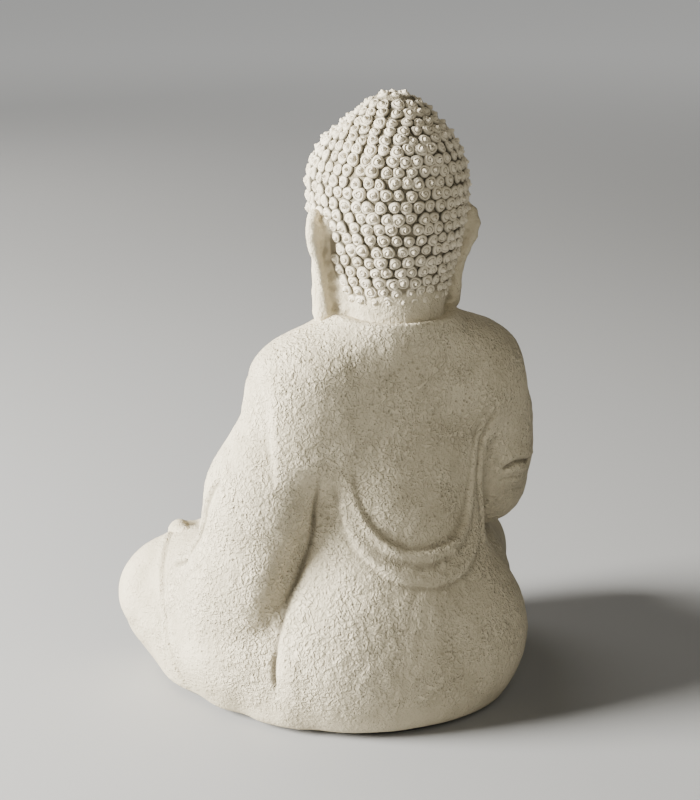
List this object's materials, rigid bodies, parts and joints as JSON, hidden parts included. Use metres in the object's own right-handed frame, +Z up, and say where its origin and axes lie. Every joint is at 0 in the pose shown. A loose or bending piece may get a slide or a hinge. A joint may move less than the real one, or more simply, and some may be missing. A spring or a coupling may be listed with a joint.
{
  "type": "seated buddha statue",
  "caption": "Seated cross-legged buddha figure in pale cast stone: robed body, snail-curl hair, long ear lobes, hands in the lap, hollow with a closed felt-covered base.",
  "frame": {"origin": "on the felt's underside, straight below the neck", "axes": "+Z up, the figure faces -Y, its left side is +X"},
  "size_m": [0.218, 0.1696, 0.3],
  "materials": {
    "cast_stone": "matt, pitted, dry-brushed pale grey-cream",
    "cast_stone_curls": "matt, darker in the grooves, pale on the tips",
    "steel": "zinc-plated",
    "brass": "knurled, plain",
    "plate": "sealed fibreboard",
    "felt": "pressed felt"
  },
  "bodies": {
    "root": {"body_casting": "cast_stone", "head_casting": "cast_stone", "hair_curls": "cast_stone_curls", "left_hand": "cast_stone", "right_hand": "cast_stone", "left_foot": "cast_stone", "right_foot": "cast_stone", "neck_dowel": "steel", "hand_pins": "steel", "foot_pins": "steel", "base_plate": "plate", "base_inserts": "brass", "base_screws": "steel", "felt_sheet": "felt"}
  },
  "joints": []
}
